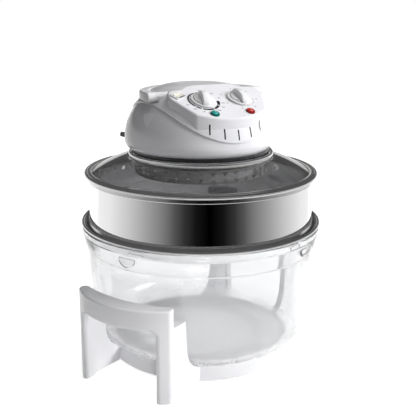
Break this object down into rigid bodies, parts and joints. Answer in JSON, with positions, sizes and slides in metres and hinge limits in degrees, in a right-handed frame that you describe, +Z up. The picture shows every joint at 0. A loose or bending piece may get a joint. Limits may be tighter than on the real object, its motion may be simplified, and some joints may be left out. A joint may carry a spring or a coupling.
{
  "type": "halogen oven",
  "caption": "Countertop halogen oven: round glass bowl on a low stand with side grips, steel extension ring, and a lift-off glass lid with a domed control head and swing-up carrying handle.",
  "frame": {"origin": "on the bowl's axis at the surface the stand rests on", "axes": "+Z up, X through the two side grips; the control head's front is turned 26 degrees clockwise from -Y seen from above"},
  "size_m": [0.412, 0.3374, 0.3845],
  "materials": {
    "zinc_screw": "zinc plated",
    "black_rubber": "moulded rubber",
    "clear_glass": "pressed clear glass",
    "polished_steel": "polished stainless steel",
    "white_silicone": "silicone",
    "tinted_glass": "grey tinted glass",
    "dark_steel": "black enamel",
    "aluminised_steel": "aluminised sheet",
    "guard_steel": "perforated stainless sheet",
    "quartz_tube": "quartz",
    "white_ceramic": "fired ceramic",
    "dark_laminations": "laminated steel",
    "copper_winding": "varnished copper wire",
    "sintered_bronze": "sintered bronze",
    "white_nylon": "moulded nylon",
    "white_plastic": "glossy white moulding",
    "black_plastic": "satin moulded black",
    "zinc_case": "zinc plated case",
    "green_lens": "translucent green",
    "red_lens": "translucent red",
    "lamp_glass": "small neon lamp",
    "grey_plastic": "satin dark grey moulding",
    "cream_plastic": "glossy cream moulding",
    "fan_aluminium": "stamped aluminium"
  },
  "bodies": {
    "base": {"base_ring": "white_plastic", "handle_left": "white_plastic", "handle_right": "white_plastic", "handle_screws": "zinc_screw", "rubber_feet": "black_rubber"},
    "bowl": {"glass_bowl": "clear_glass"},
    "extension_ring": {"extension_band": "polished_steel", "extension_flange": "polished_steel"},
    "lid": {"lid_rim": "polished_steel", "lid_seal": "white_silicone", "lid_glass": "tinted_glass", "upper_gasket": "white_silicone", "lower_gasket": "white_silicone", "collar_ring": "polished_steel", "head_base": "dark_steel", "heater_pan": "aluminised_steel", "pan_screws": "zinc_screw", "heater_guard": "guard_steel", "halogen_tube": "quartz_tube", "tube_holders": "white_ceramic", "motor_stator": "dark_laminations", "motor_coil": "copper_winding", "motor_bearings": "sintered_bronze", "motor_bracket": "aluminised_steel", "bearing_bridge": "aluminised_steel", "thermal_cutout": "white_ceramic", "terminal_block": "white_nylon", "lower_housing": "white_plastic", "housing_screws": "zinc_screw", "control_cover": "white_plastic", "pivot_pins": "zinc_screw", "interlock_switch": "black_plastic", "thermostat_body": "zinc_case", "timer_body": "zinc_case", "green_lens": "green_lens", "red_lens": "red_lens", "neon_lamps": "lamp_glass", "rocker_frame": "white_plastic", "cord_gland": "grey_plastic"},
    "bail": {"bail_handle": "white_plastic"},
    "thermostat": {"thermostat_knob": "white_plastic", "thermostat_shaft": "zinc_screw"},
    "timer": {"timer_knob": "white_plastic", "timer_shaft": "zinc_screw"},
    "power_rocker": {"rocker_switch": "cream_plastic"},
    "rotor": {"fan_shaft": "zinc_screw", "circulation_fan": "fan_aluminium", "fan_nut": "zinc_screw", "motor_rotor": "dark_laminations", "cooling_fan": "white_nylon"},
    "plunger": {"interlock_plunger": "white_nylon"}
  },
  "joints": [
    {"name": "bowl_lift", "type": "slide", "parent": "base", "child": "bowl", "axis": [0, 0, 1], "range_m": [0, 0.15]},
    {"name": "extension_lift", "type": "slide", "parent": "bowl", "child": "extension_ring", "axis": [0, 0, 1], "range_m": [0, 0.12]},
    {"name": "lid_lift", "type": "slide", "parent": "extension_ring", "child": "lid", "axis": [0, 0, 1], "range_m": [0, 0.15]},
    {"name": "bail_swing", "type": "hinge", "parent": "lid", "child": "bail", "pos_m": [-0.00526, -0.01079, 0.3705], "axis": [0.8988, -0.4384, 0], "range_deg": [0, 90]},
    {"name": "interlock_press", "type": "slide", "parent": "lid", "child": "plunger", "axis": [0, 0, 1], "range_m": [0, 0.0022]},
    {"name": "thermostat_turn", "type": "hinge", "parent": "lid", "child": "thermostat", "pos_m": [-0.04862, -0.03581, 0.36703], "axis": [-0.1853, -0.3798, 0.9063], "range_deg": [-270, 0]},
    {"name": "timer_turn", "type": "hinge", "parent": "lid", "child": "timer", "pos_m": [0.00171, -0.06036, 0.36703], "axis": [-0.1853, -0.3798, 0.9063], "range_deg": [-300, 0]},
    {"name": "rocker_tip", "type": "hinge", "parent": "lid", "child": "power_rocker", "pos_m": [-0.06872, -0.00973, 0.3722], "axis": [0.9825, -0.053, 0.1786], "range_deg": [-16, 0]},
    {"name": "fan_spin", "type": "hinge", "parent": "lid", "child": "rotor", "pos_m": [0, 0, 0.3065], "axis": [0, 0, 1], "continuous": true}
  ],
  "couplings": [
    {"joint": "interlock_press", "follows": "bail_swing", "m_per_rad": 0.0014006}
  ]
}
